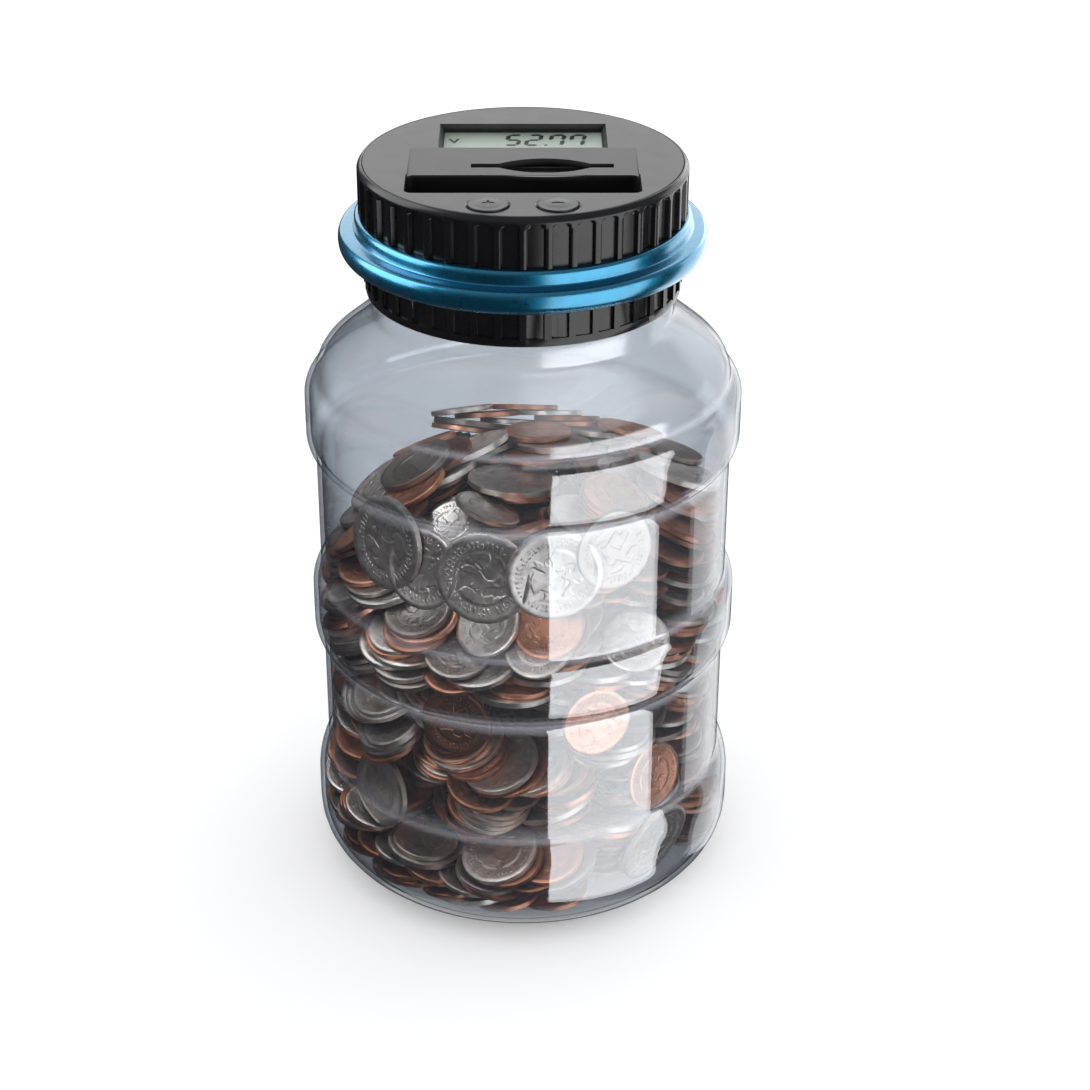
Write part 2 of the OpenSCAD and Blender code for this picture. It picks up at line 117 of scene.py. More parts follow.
def make_lights():
    """Soft boxes, each for the pieces whose gloss it shapes. Sizes and places are in metres."""
    on_lid = {name for name, node in NODES.items() if node.parent and node.parent.name == "body:lid_body"}
    added = {"crown", "lcd_segments", "button_plus", "button_minus", "coin_lever"}
    lid = sorted((on_lid | added) - {"top_cap", "trim_ring", "lcd_lens"})
    shell = ["jar_shell"]
    ring = ["trim_ring_metal"]
    coins = [f"coins_{metal}_{half}" for metal in ("silver", "copper") for half in ("low", "high")]
    low = -0.30
    heap_middle = (0, 0, 0.1)
    # The tall panel whose reflection is the bright veil down the right of the jar
    veil = (around(46.5, 1.0, low), (1.27, 1.5), (0, 0, low))
    radiance_light("veil_panel", *veil, 6.8, shell)
    radiance_light("lid_panel", *veil, 2.4, lid + ["lcd_lens"])
    radiance_light("ring_panel", *veil, 2.3, ring)
    radiance_light("coin_panel", around(46.5, 1.0, 0.1), (1.27, 1.5), heap_middle, 2.4, coins)
    # Behind and to the right: the second, paler veil at the right edge
    radiance_light("edge_panel", around(135, 1.1, -0.2), (1.1, 1.6), (0, 0, -0.2), 1.7)
    # Behind and above: gloss on the flat panel of the lid
    back = ((0.1, 1.3, 0.85), (2.4, 1.4), (0, 0, 0.2))
    radiance_light("back_panel", *back, 1.3, lid)
    radiance_light("ring_back", *back, 1.3, ring)
    # Overhead and to the right: the veil over the jar's shoulder
    radiance_light("shoulder_panel", (0.48, -0.15, 1.2), (0.96, 1.3), (0.48, -0.15, 0), 1.8, shell)
    # Below the floor's level: pale gloss under the curve of the foot
    radiance_light("foot_panel", (0, -0.05, -0.5), (0.6, 0.6), (0, -0.05, 0), 0.9, shell)
    # Key lights of the coins
    radiance_light("coin_top", (-0.25, 0.15, 1.2), (0.9, 0.9), heap_middle, 7.4, coins)
    radiance_light("coin_front", around(-35, 1.0, 0.85), (0.35, 0.7), heap_middle, 7.4, coins)
    # Panels far left, for the blue ring and the rim of the lid
    radiance_light("left_strip", around(-105, 1.0, 0.75), (0.9, 1.0), (0, 0, 0.18), 2.8, lid)
    radiance_light("ring_left", around(-90, 1.0, 0.50), (1.0, 1.0), (0, 0, 0.18), 3.6, ring)
    # Large overhead box that only lights the floor
    radiance_light("floor_top", (0, 0.3, 1.4), (12, 12), (0, 0.3, 0), 0.76, ["floor"])


def make_world():
    """White behind everything the camera sees, and a dim room, lighter above, for all other rays."""
    world = bpy.data.worlds.new("studio")
    SCENE.world = world
    world.use_nodes = True
    nodes, join = world.node_tree.nodes, world.node_tree.links.new
    nodes.clear()
    out = nodes.new("ShaderNodeOutputWorld")
    mix = nodes.new("ShaderNodeMixShader")
    path = nodes.new("ShaderNodeLightPath")
    white = nodes.new("ShaderNodeBackground")
    white.inputs["Color"].default_value = (1, 1, 1, 1)
    studio = nodes.new("ShaderNodeBackground")
    coord = nodes.new("ShaderNodeTexCoord")
    split = nodes.new("ShaderNodeSeparateXYZ")
    scale = nodes.new("ShaderNodeMapRange")
    scale.inputs["From Min"].default_value = -1
    ramp = nodes.new("ShaderNodeValToRGB")
    dim, sky = ramp.color_ramp.elements
    dim.position, dim.color = 0.45, (0.035, 0.035, 0.04, 1)
    sky.position, sky.color = 0.9, (0.34, 0.35, 0.37, 1)
    join(coord.outputs["Generated"], split.inputs[0])
    join(split.outputs["Z"], scale.inputs["Value"])
    join(scale.outputs[0], ramp.inputs["Fac"])
    join(ramp.outputs["Color"], studio.inputs["Color"])
    join(path.outputs["Is Camera Ray"], mix.inputs["Fac"])
    join(studio.outputs[0], mix.inputs[1])
    join(white.outputs[0], mix.inputs[2])
    join(mix.outputs[0], out.inputs["Surface"])


def make_floor():
    """Plain pale floor, a hair under the jar's foot. Gloss doesn't mirror it."""
    half = 3.0
    gap = 0.0002
    mesh = bpy.data.meshes.new("floor")
    corners = [(-half, -half, 0), (half, -half, 0), (half, half, 0), (-half, half, 0)]
    mesh.from_pydata(corners, [], [(0, 1, 2, 3)])
    floor = bpy.data.objects.new("floor", mesh)
    floor.location.z = -gap
    SCENE.collection.objects.link(floor)
    surface = Surface("studio_floor")
    surface.set(base_color=(0.86, 0.86, 0.865, 1), roughness=0.9, specular_ior_level=0.0)
    surface.glow((1, 1, 1), 0.24)
    mesh.materials.append(surface.material)
    floor.visible_glossy = False


# ---------------------------------------------------------------- materials

class Surface:
    """A Principled material with a few helpers for procedural detail."""

    def __init__(self, name):
        self.material = bpy.data.materials.new(name)
        self.material.use_nodes = True
        self.tree = self.material.node_tree
        self.tree.nodes.clear()
        self.out = self.new("ShaderNodeOutputMaterial")
        self.shader = self.new("ShaderNodeBsdfPrincipled")
        self.join(self.shader.outputs[0], self.out.inputs["Surface"])

    def new(self, kind, **settings):
        node = self.tree.nodes.new(kind)
        for key, value in settings.items():
            setattr(node, key, value)
        return node

    def join(self, a, b):
        self.tree.links.new(a, b)

    def set(self, **values):
        """Constants on the shader's own sockets, such as coat_weight=1."""
        names = {socket.name.lower().replace(" ", "_"): socket for socket in self.shader.inputs}
        for key, value in values.items():
            names[key].default_value = value

    def glow(self, color, strength):
        self.shader.inputs["Emission Color"].default_value = (*color, 1)
        self.shader.inputs["Emission Strength"].default_value = strength

    def coords(self):
        return self.new("ShaderNodeTexCoord").outputs["Object"]

    def noise(self, scale, detail=4.0, source=None, roughness=0.55, distortion=0.0):
        node = self.new("ShaderNodeTexNoise")
        node.inputs["Scale"].default_value = scale
        node.inputs["Detail"].default_value = detail
        node.inputs["Roughness"].default_value = roughness
        node.inputs["Distortion"].default_value = distortion
        self.join(source or self.coords(), node.inputs["Vector"])
        return node.outputs["Fac"]

    def ramp(self, source, stops):
        node = self.new("ShaderNodeValToRGB")
        elements = node.color_ramp.elements
        while len(elements) < len(stops):
            elements.new(0.5)
        for element, (place, color) in zip(elements, stops):
            element.position = place
            element.color = (*color, 1) if len(color) == 3 else color
        self.join(source, node.inputs["Fac"])
        return node.outputs["Color"]

    def spread(self, source, low, high, start=0.3, stop=0.7):
        """Maps a 0..1 signal to a range of values."""
        node = self.new("ShaderNodeMapRange")
        node.inputs["From Min"].default_value = start
        node.inputs["From Max"].default_value = stop
        node.inputs["To Min"].default_value = low
        node.inputs["To Max"].default_value = high
        self.join(source, node.inputs["Value"])
        return node.outputs[0]

    def math(self, operation, a, b=None, c=None):
        node = self.new("ShaderNodeMath", operation=operation)
        for socket, value in zip(node.inputs, (a, b, c)):
            if value is None:
                continue
            if isinstance(value, (int, float)):
                socket.default_value = value
            else:
                self.join(value, socket)
        return node.outputs[0]

    def mix(self, factor, a, b, blend="MIX"):
        node = self.new("ShaderNodeMix", data_type="RGBA", blend_type=blend)
        for socket, value in ((node.inputs[0], factor), (node.inputs[6], a), (node.inputs[7], b)):
            if isinstance(value, (int, float)):
                socket.default_value = value
            elif isinstance(value, tuple):
                socket.default_value = (*value, 1) if len(value) == 3 else value
            else:
                self.join(value, socket)
        return node.outputs[2]

    def split(self, vector, axis):
        node = self.new("ShaderNodeSeparateXYZ")
        self.join(vector, node.inputs[0])
        return node.outputs[axis]

    def layer(self, factor, under, over):
        """Lays one shader over another."""
        node = self.new("ShaderNodeMixShader")
        self.join(factor, node.inputs["Fac"])
        self.join(under, node.inputs[1])
        self.join(over, node.inputs[2])
        return node.outputs[0]

    def facing(self):
        """0 where the surface faces the viewer, 1 where it is seen edge on."""
        node = self.new("ShaderNodeLayerWeight")
        node.inputs["Blend"].default_value = 0.5
        return node.outputs["Facing"]

    def bump(self, height, distance, strength=1.0, previous=None):
        node = self.new("ShaderNodeBump")
        node.inputs["Distance"].default_value = distance
        node.inputs["Strength"].default_value = strength
        self.join(height, node.inputs["Height"])
        if previous is not None:
            self.join(previous, node.inputs["Normal"])
        self.join(node.outputs[0], self.shader.inputs["Normal"])
        return node.outputs[0]

    def color(self, source):
        self.join(source, self.shader.inputs["Base Color"])

    def rough(self, source):
        self.join(source, self.shader.inputs["Roughness"])


def moulded(name, dark, light, rough, grain=1500.0, face_clear_of_painted_shade=0.00001):
    """Moulded plastic: slight colour drift, uneven gloss and a fine grain."""
    s = Surface(name)
    s.color(s.ramp(s.noise(60), [(0.3, dark), (0.7, light)]))
    s.rough(s.spread(s.noise(140, 5), *rough))
    s.bump(s.noise(grain, 2), face_clear_of_painted_shade, 0.35)
    return s.material


def clear_pet():
    """Thin clear wall: tinted see-through, mirror gloss that grows at a glancing angle, a faint
    haze everywhere and a pale line along the moulded creases (attribute "crease"). The last bit of
    edge, where the wall is seen end on, swallows light and loses its gloss."""
    s = Surface("clear_pet")
    s.tree.nodes.remove(s.shader)
    facing = s.facing()
    clear = s.new("ShaderNodeBsdfTransparent")
    tint = s.ramp(facing, [(0.0, (0.815, 0.835, 0.852)), (0.5, (0.785, 0.808, 0.83)),
                           (0.8, (0.66, 0.68, 0.70)), (1.0, (0.26, 0.26, 0.28))])
    s.join(tint, clear.inputs["Color"])
    haze = s.new("ShaderNodeBsdfDiffuse")
    haze.inputs["Color"].default_value = (0.70, 0.71, 0.78, 1)
    gloss = s.new("ShaderNodeBsdfGlossy")
    gloss.inputs["Color"].default_value = (0.97, 0.98, 1, 1)
    # The blown shoulder is less even than the walls, so its reflections are softer
    height = s.split(s.coords(), "Z")
    s.join(s.spread(height, 0.025, 0.22, 0.139, 0.150), gloss.inputs["Roughness"])
    wave = s.new("ShaderNodeBump")
    wave.inputs["Distance"].default_value = 0.0004
    wave.inputs["Strength"].default_value = 0.25
    s.join(s.noise(28, 2), wave.inputs["Height"])
    s.join(wave.outputs[0], gloss.inputs["Normal"])
    crease = s.new("ShaderNodeAttribute", attribute_name="crease").outputs["Fac"]
    haziness = s.math("MULTIPLY_ADD", crease, 0.15, 0.014)
    hazy = s.layer(haziness, clear.outputs[0], haze.outputs[0])
    gain = s.math("MULTIPLY_ADD", s.math("POWER", facing, 5.0), 0.9, 0.05)
    mirror = s.math("MULTIPLY", gain, s.spread(facing, 1.0, 0.12, 0.80, 0.92))
    s.join(s.layer(mirror, hazy, gloss.outputs[0]), s.out.inputs["Surface"])
    return s.material


def coin_metal(name, bright, worn, dark):
    """Worn coin metal, with a raised pattern that shows nobody and a broken ring of ticks. The mesh
    gives each coin's own coordinates (coin_xy, 1 at the rim) and its tone."""
    s = Surface(name)
    s.set(metallic=1.0)
    where = s.new("ShaderNodeAttribute", attribute_name="coin_xy").outputs["Vector"]
    tone = s.new("ShaderNodeAttribute", attribute_name="tone").outputs["Fac"]
    own = s.ramp(tone, [(0.0, dark), (0.45, worn), (1.0, bright)])
    spots = s.noise(420, 6, roughness=0.65)
    stained = s.mix(s.spread(spots, 0.0, 0.55, 0.45, 0.75), own, dark)
    # Painted shade: ambient occlusion among the coins darkens their colour towards near black in the gaps
    # between them
    gaps = s.new("ShaderNodeAmbientOcclusion", samples=4, only_local=True)
    gaps.inputs["Distance"].default_value = 0.006
    painted_gap_shade = s.ramp(gaps.outputs["AO"], [(0.15, (0.05, 0.045, 0.04)), (0.75, (1, 1, 1))])
    s.color(s.mix(1.0, stained, painted_gap_shade, "MULTIPLY"))
    s.rough(s.spread(s.noise(900, 5), 0.28, 0.5))
    x, y = s.split(where, "X"), s.split(where, "Y")
    radius = s.math("SQRT", s.math("ADD", s.math("MULTIPLY", x, x), s.math("MULTIPLY", y, y)))
    shapes = s.spread(s.noise(2.6, 2, where, 0.45, 0.5), 0, 1, 0.44, 0.5)
    middle = s.math("MULTIPLY", shapes, s.spread(radius, 1, 0, 0.55, 0.62))
    ticks = s.math("SINE", s.math("MULTIPLY", s.math("ARCTAN2", y, x), 46))
    broken = s.spread(s.noise(9, 2, where), 0, 1, 0.45, 0.52)
    band = s.math("MULTIPLY", s.spread(radius, 0, 1, 0.66, 0.69), s.spread(radius, 1, 0, 0.80, 0.83))
    ring = s.math("MULTIPLY", s.math("MULTIPLY", s.spread(ticks, 0, 1, -0.1, 0.3), band), broken)
    relief = s.bump(s.math("ADD", middle, ring), 0.00016, 0.9)
    s.bump(s.noise(2500, 3), 0.00003, 0.4, relief)
    return s.material


# ---------------------------------------------------------------- mesh helpers

def mesh_piece(name, vertices, faces, body, material, sharp=None, replaces=()):
    """Makes a smooth-shaded object from millimetre vertices and hangs it on a CAD body."""
    mesh = bpy.data.meshes.new(name)
    mesh.from_pydata([(x * MM, y * MM, z * MM) for x, y, z in vertices], [], faces)
    mesh.polygons.foreach_set("use_smooth", [True] * len(mesh.polygons))
    if sharp is not None:
        mesh.set_sharp_from_angle(angle=math.radians(sharp))
    mesh.materials.append(material)
    mesh.update()
    obj = bpy.data.objects.new(name, mesh)
    SCENE.collection.objects.link(obj)
    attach(obj, body)
    if replaces:
        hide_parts(*replaces)
    return obj


def lathe(outline, columns, closed=True, wobble=None):
    """Turns (radius, z) points round the Z axis. wobble(radius, z, angle) may return a new radius."""
    vertices, rows = [], []
    for radius, z in outline:
        if radius < 1e-6:
            rows.append([len(vertices)] * columns)
            vertices.append((0, 0, z))
            continue
        rows.append(list(range(len(vertices), len(vertices) + columns)))
        for k in range(columns):
            angle = 2 * math.pi * k / columns
            r = wobble(radius, z, angle) if wobble else radius
            vertices.append((r * math.cos(angle), r * math.sin(angle), z))
    faces = []
    for low, high in zip(rows, rows[1:] + rows[:1] if closed else rows[1:]):
        for k in range(columns):
            n = (k + 1) % columns
            face = list(dict.fromkeys((low[k], low[n], high[n], high[k])))
            if len(face) > 2:
                faces.append(face)
    return vertices, faces


def rounded(outline, passes=2, keep=()):
    """Cuts the corners of a closed outline, leaving the points listed in keep."""
    for _ in range(passes):
        cut = []
        for i, point in enumerate(outline):
            before, after = outline[i - 1], outline[(i + 1) % len(outline)]
            if tuple(point) in keep:
                cut.append(point)
                continue
            for other in (before, after):
                cut.append(tuple(0.75 * a + 0.25 * b for a, b in zip(point, other)))
        outline = cut
    return outline


def join_parts(parts):
    """Joins (vertices, faces) pairs into one pair."""
    vertices, faces = [], []
    for part_vertices, part_faces in parts:
        start = len(vertices)
        vertices.extend(part_vertices)
        faces.extend([i + start for i in face] for face in part_faces)
    return vertices, faces


# ---------------------------------------------------------------- jar

WALL = 1.2
JAR_R = 57.5
BULGE_R = 56.9
WAIST_R = 54.5
BEAD_R = 38.5
NECK_R = 35.6
RIM_Z = box_mm("jar")[1].z
PUSH_UP = 3.0
# Radii of the curves at the foot, above the foot's band, at the bulges and at the shoulder
FOOT, FLANK, BEND, DOME = 14.0, 16.35, 5.5, 9.0
FLANK_Z = 22
BULGES = ((71.8, 82.0), (127.6, 138.0))
DOME_Z = 142.8
SLOPE = math.radians(50)
# Where the shoulder's curve runs into its cone, and the cone into the bead under the lid
DOME_X = WAIST_R - 0.6 - DOME * (1 - math.cos(SLOPE))
DOME_END = DOME_Z + DOME * math.sin(SLOPE)
CONE_TOP = DOME_END + (DOME_X - BEAD_R) / math.tan(SLOPE)


def jar_radius(z, grow=0.0):
    """Radius of the jar's wall at a height: outside with grow 0, inside with grow -WALL."""
    def arc(x, centre, r):
        r += grow
        return x + math.sqrt(r * r - (z - centre) ** 2) if abs(z - centre) < r else 0.0
    found = [arc(JAR_R - FOOT, FOOT, FOOT), arc(JAR_R - FLANK, FLANK_Z, FLANK),
             arc(WAIST_R - 0.6 - DOME, DOME_Z, DOME)]
    if FOOT <= z <= FLANK_Z:
        found.append(JAR_R + grow)
    if 20 <= z <= DOME_Z:
        found.append(WAIST_R + grow)
    for low, high in BULGES:
        if low <= z <= high:
            found.append(BULGE_R + grow)
        found += [arc(BULGE_R - BEND, low, BEND), arc(BULGE_R - BEND, high, BEND)]
    start = DOME_END + grow * math.sin(SLOPE)
    if start <= z <= CONE_TOP + grow * math.sin(SLOPE):
        found.append(DOME_X + grow * math.cos(SLOPE) - (z - start) * math.tan(SLOPE))
    return max(found)


def soft_radius(z, grow=0.0):
    """jar_radius with its creases blown soft."""
    reach, steps = 0.55, 3
    samples = [jar_radius(z + reach * k / steps, grow) for k in range(-steps, steps + 1)]
    return sum(samples) / len(samples)


def wall_points(grow, low, high):
    """Points up the wall, close together only where it bends."""
    step, most_turn, most_rise = 0.2, math.radians(5), 4
    points = [(soft_radius(low, grow), low)]
    last_slope = None
    z = low + step
    turned = 0.0
    while z < high:
        r = soft_radius(z, grow)
        slope = math.atan2(r - soft_radius(z - step, grow), step)
        if last_slope is not None:
            turned += abs(slope - last_slope)
        last_slope = slope
        if turned > most_turn or z - points[-1][1] > most_rise:
            points.append((r, z))
            turned = 0.0
        z += step
    points.append((soft_radius(high, grow), high))
    return points


def foot_points(grow, from_angle, steps=9):
    """Quarter round of the foot, from the floor up to its widest."""
    points = []
    for k in range(steps + 1):
        a = from_angle * (1 - k / steps)
        points.append((JAR_R - FOOT + (FOOT + grow) * math.cos(a), FOOT + (FOOT + grow) * math.sin(a)))
    return points


def jar_outline():
    """Closed outline of the jar's wall, up the outside and down the inside."""
    cap_r = 36.0
    big = (cap_r ** 2 + PUSH_UP ** 2) / (2 * PUSH_UP)

    def push_up(r, lift=0.0):
        return PUSH_UP + lift - big + math.sqrt(big * big - r * r)
    wall_low = FOOT + 0.6
    bead_top = 165.9
    outside = [(r, push_up(r)) for r in (0, 10, 20, 28, 34)]
    outside += [(35.6, 0.05), (37, 0)]
    outside += foot_points(0, -math.pi / 2)
    outside += wall_points(0, wall_low, CONE_TOP - 0.6)
    outside += [(BEAD_R + 0.15, CONE_TOP + 0.3), (BEAD_R, CONE_TOP + 1), (BEAD_R, bead_top - 0.4),
                (BEAD_R - 0.4, bead_top), (NECK_R + 0.3, bead_top), (NECK_R, bead_top + 0.3),
                (NECK_R, RIM_Z - 0.4), (NECK_R - 0.4, RIM_Z)]
    mouth = NECK_R - 1.6
    inner_bead = BEAD_R - WALL
    floor_z, floor_lift = 1.8, 1.6
    inner_top = CONE_TOP - WALL * math.sin(SLOPE)
    inside = [(mouth + 0.3, RIM_Z), (mouth, RIM_Z - 0.3), (mouth, 165.2), (mouth + 0.6, 164.6),
              (inner_bead - 0.4, 164.4), (inner_bead, 164), (inner_bead, inner_top + 1)]
    inside += wall_points(-WALL, wall_low, inner_top - 0.6)[::-1]
    low_angle = -math.asin((FOOT - floor_z) / (FOOT - WALL))
    inside += foot_points(-WALL, low_angle)[::-1]
    edge = math.sqrt(2 * big * (PUSH_UP + floor_lift - floor_z))
    inside += [(edge + 3, floor_z), (edge, floor_z + 0.02)]
    inside += [(r, push_up(r, floor_lift)) for r in (30, 20, 10, 0)]
    return outside + inside


def helix_ridge(root, crest, z0, lead, turns, start, steps):
    """Screw thread ridge that fades out at both ends."""
    half, flat = 1.1, 0.45
    profile = [(root, -half), (crest - 0.25, -flat - 0.12), (crest, -flat + 0.1), (crest, flat - 0.1),
               (crest - 0.25, flat + 0.12), (root, half)]
    vertices, faces = [], []
    n = len(profile)
    for i in range(steps + 1):
        t = i / steps
        fade = min(1.0, 5 * t, 5 * (1 - t)) * 0.98 + 0.02
        a = start + 2 * math.pi * turns * t
        for r, dz in profile:
            radius = root + (r - root) * fade
            vertices.append((radius * math.cos(a), radius * math.sin(a), z0 + lead * turns * t + dz))
    for i in range(steps):
        for j in range(n):
            k = (j + 1) % n
            faces.append([(i + 1) * n + j, (i + 1) * n + k, i * n + k, i * n + j])
    faces.append(list(range(n)))
    faces.append([steps * n + j for j in range(n)][::-1])
    return vertices, faces


def crease_at(z):
    """How sharply the wall bends inwards at a height, 0 to 1."""
    h = 0.5
    bend = (soft_radius(z + h) - 2 * soft_radius(z) + soft_radius(z - h)) / (h * h)
    return min(max((bend - 0.12) / 0.35, 0.0), 1.0)


def make_jar():
    """Blown jar with two thread starts and a crease value at each vertex."""
    parts = [lathe(jar_outline(), 192)]
    for start in (0, math.pi):
        parts.append(helix_ridge(NECK_R - 0.5, NECK_R + 1.3, 169.2, 8, 0.75, start, 54))
    vertices, faces = join_parts(parts)
    obj = mesh_piece("jar_shell", vertices, faces, "jar_body", clear_pet(),
                     sharp=50, replaces=("jar",))
    obj.visible_shadow = False
    creases = {round(z, 3): 0.0 for _, _, z in vertices}
    for z in creases:
        if FLANK_Z + 2 < z < CONE_TOP - 3:
            creases[z] = crease_at(z)
    inside_r = 45
    values = [creases[round(z, 3)] if math.hypot(x, y) > inside_r else 0.0 for x, y, z in vertices]
    line = obj.data.attributes.new("crease", "FLOAT", "POINT")
    line.data.foreach_set("value", values)


# ---------------------------------------------------------------- coins

# radius, thickness, share of the heap and metal of each kind of coin
COINS = ((9.3, 1.5, 0.46, "copper"), (10.4, 1.8, 0.24, "silver"), (8.8, 1.4, 0.15, "silver"),
         (12.1, 1.8, 0.15, "silver"))
COIN_SIDES = 30
# The coins are poured round a core that they hide. Coins that come to rest above FILL_Z, or too
# steep to pass for a settled heap, are left out: the number is the upright part of their axis.
CORE_R = 20.0
FILL_Z = 112.0
HEAP_TOP = box_mm("coin_heap")[1].z
LEAST_UPRIGHT, TOP_LEAST_UPRIGHT, TOP_FROM_Z = 0.70, 0.78, 96

# Coins that stand against the wall: azimuth from the front, height, kind, tone, lean in degrees
LEANING = ((9, 109, 3, 1.0, 4), (-11.5, 107.5, 3, 0.85, 8), (-31, 106.5, 1, 0.9, 14),
           (-45, 110, 3, 0.85, 10), (27, 113.5, 1, 0.3, 6), (-20, 64.5, 0, 0.22, 5),
           (22, 64, 0, 0.95, 5), (44, 40, 0, 0.75, 8), (-50, 33, 1, 0.5, 6), (47, 16.5, 3, 0.95, -14))

# Heights of the rings of the wall that the coins are poured into: close together where it bends
POUR_HEIGHTS = (2, 3, 4.5, 6.5, 9, 12, 16, 22, 26, 30, 34, 38, 67, 69, 71, 73, 77, 81, 84, 87, 123,
                125, 128, 132, 138, 141)


def leaning_places():
    """Poses of the coins that stand against the wall, in millimetres."""
    places = []
    for azimuth, z, kind, tone, lean in LEANING:
        radius, thick = COINS[kind][0], COINS[kind][1]
        wall = min(jar_radius(z + d * radius * 0.8, -WALL) for d in (-1, 0, 1))
        sag = radius * radius / (2 * wall)
        offset = wall - sag - thick / 2 - 0.6 - abs(math.sin(math.radians(lean))) * radius * 0.8
        turn = Matrix.Rotation(math.radians(azimuth - 90), 4, "Z")
        place = Matrix.Translation((offset, 0, z)) @ Matrix.Rotation(math.radians(90 - lean), 4, "Y")
        spin = Matrix.Rotation(azimuth * 0.7, 4, "Z")
        places.append((kind, tone, turn @ place @ spin))
    return places


def coin_prism(name, radius, thick, sides=20):
    """Plain disc used only while the heap is poured, in centimetres."""
    vertices, faces = [], []
    for k in range(sides):
        a = 2 * math.pi * k / sides
        for z in (-thick / 2, thick / 2):
            vertices.append((radius * math.cos(a), radius * math.sin(a), z))
    for k in range(sides):
        n = (k + 1) % sides
        faces.append((2 * k, 2 * n, 2 * n + 1, 2 * k + 1))
    faces.append([2 * k for k in range(sides)][::-1])
    faces.append([2 * k + 1 for k in range(sides)])
    mesh = bpy.data.meshes.new(name)
    mesh.from_pydata(vertices, [], faces)
    return mesh


def loose_start(count, leaning, rng):
    """Start of the pour: layers of coins that don't overlap, in centimetres."""
    taken = [(m.translation.x / 10, m.translation.y / 10, m.translation.z / 10) for _, _, m in leaning]
    start = []
    z = 0.5
    while len(start) < count:
        layer = []
        for _ in range(60):
            kind = rng.choices(range(4), [c[2] for c in COINS])[0]
            radius = COINS[kind][0] / 10
            angle = rng.uniform(0, 2 * math.pi)
            away = math.sqrt(rng.random()) * (5.2 - radius)
            x, y = away * math.cos(angle), away * math.sin(angle)
            if z < 15 and away < CORE_R / 10 + radius * 0.95:
                continue
            if any(math.hypot(x - tx, y - ty) < 1.2 + radius and tz - 3 < z < tz + 1.4
                   for tx, ty, tz in taken):
                continue
            if all(math.hypot(x - px, y - py) > 0.95 * (radius + pr) for px, py, pr in layer):
                layer.append((x, y, radius))
                tilt, way = rng.gauss(0, 0.03), rng.uniform(0, 2 * math.pi)
                turn = Euler((tilt * math.cos(way), tilt * math.sin(way), rng.uniform(0, 6.28)))
                start.append((kind, (x, y, z + rng.uniform(0, 0.06)), turn))
        z += 0.22
    return start[:count]


def pour_walls(leaning, shapes):
    """What stands still in the pour, in centimetres: leaning coins, core, jar wall and floor."""
    fixed = []
    for kind, _, pose in leaning:
        obj = bpy.data.objects.new("pour", shapes[kind])
        matrix = pose.copy()
        matrix.translation /= 10
        obj.matrix_world = matrix
        fixed.append(obj)
    sides = 40
    grow = 0.999 / math.cos(math.pi / sides)
    chimney_r = 5.33
    profile = [(jar_radius(max(z, 2), -WALL) / 10 * grow, z / 10) for z in POUR_HEIGHTS]
    profile += [(chimney_r, 14.5), (chimney_r, 60)]
    vertices, faces = lathe(profile, sides, closed=False)
    shell = bpy.data.meshes.new("pour_wall")
    shell.from_pydata(vertices, [], [face[::-1] for face in faces])
    fixed.append(bpy.data.objects.new("pour_wall", shell))
    base = bpy.data.meshes.new("pour_floor")
    corners = [(x, y, z) for z in (-1, 0.2) for x, y in ((-8, -8), (8, -8), (8, 8), (-8, 8))]
    base.from_pydata(corners, [], [(3, 2, 1, 0), (4, 5, 6, 7), (0, 1, 5, 4), (1, 2, 6, 5),
                                   (2, 3, 7, 6), (3, 0, 4, 7)])
    fixed.append(bpy.data.objects.new("pour_floor", base))
    core_height = 9.8
    core = bpy.data.objects.new("pour_core", coin_prism("pour_core", CORE_R / 10, core_height))
    core.location = (0, 0, 0.2 + core_height / 2)
    fixed.append(core)
    return fixed


def settle(coins, fixed, frames):
    """Runs the rigid bodies and returns where each coin comes to rest."""
    for obj in coins + fixed:
        SCENE.collection.objects.link(obj)
    bpy.ops.rigidbody.world_add()
    world = SCENE.rigidbody_world
    world.substeps_per_frame = 12
    world.solver_iterations = 20
    world.point_cache.frame_end = frames + 10
    gravity = SCENE.gravity.copy()
    SCENE.gravity = (0, 0, -60)
    for group, kind in ((coins, "ACTIVE"), (fixed, "PASSIVE")):
        bpy.ops.object.select_all(action="DESELECT")
        for obj in group:
            obj.select_set(True)
        bpy.context.view_layer.objects.active = group[0]
        bpy.ops.rigidbody.objects_add(type=kind)
    collision = {"pour_wall": "MESH", "pour_floor": "BOX"}
    for obj in coins + fixed:
        solid = obj.rigid_body
        solid.collision_shape = collision.get(obj.name, "CYLINDER")
        solid.use_margin = True
        solid.collision_margin = 0.004
        solid.friction = 0.2
        solid.restitution = 0.0
        solid.linear_damping = 0.5
        solid.angular_damping = 0.97
    for step in range(1, frames + 1):
        SCENE.frame_set(step)
    graph = bpy.context.evaluated_depsgraph_get()
    poses = [obj.evaluated_get(graph).matrix_world.copy() for obj in coins]
    SCENE.frame_set(1)
    bpy.ops.rigidbody.world_remove()
    SCENE.gravity = gravity
    for obj in coins + fixed:
        bpy.data.objects.remove(obj)
    for pose in poses:
        pose.translation *= 10
    return poses


def pour(count=980, frames=64):
    """Drops the coins into the jar by rigid body simulation. Returns each coin as (kind, tone,
    pose in millimetres), the leaning coins first."""
    rng = random.Random(11)
    leaning = leaning_places()
    start = loose_start(count, leaning, rng)
    tones = [rng.random() for _ in start]
    shapes = [coin_prism(f"pour_{i}", c[0] / 10, c[1] / 10) for i, c in enumerate(COINS)]
    coins = []
    for kind, place, turn in start:
        obj = bpy.data.objects.new("pour", shapes[kind])
        obj.location, obj.rotation_euler = place, turn
        coins.append(obj)
    poses = settle(coins, pour_walls(leaning, shapes), frames)
    return leaning + [(kind, tone, pose) for (kind, _, _), tone, pose in zip(start, tones, poses)]


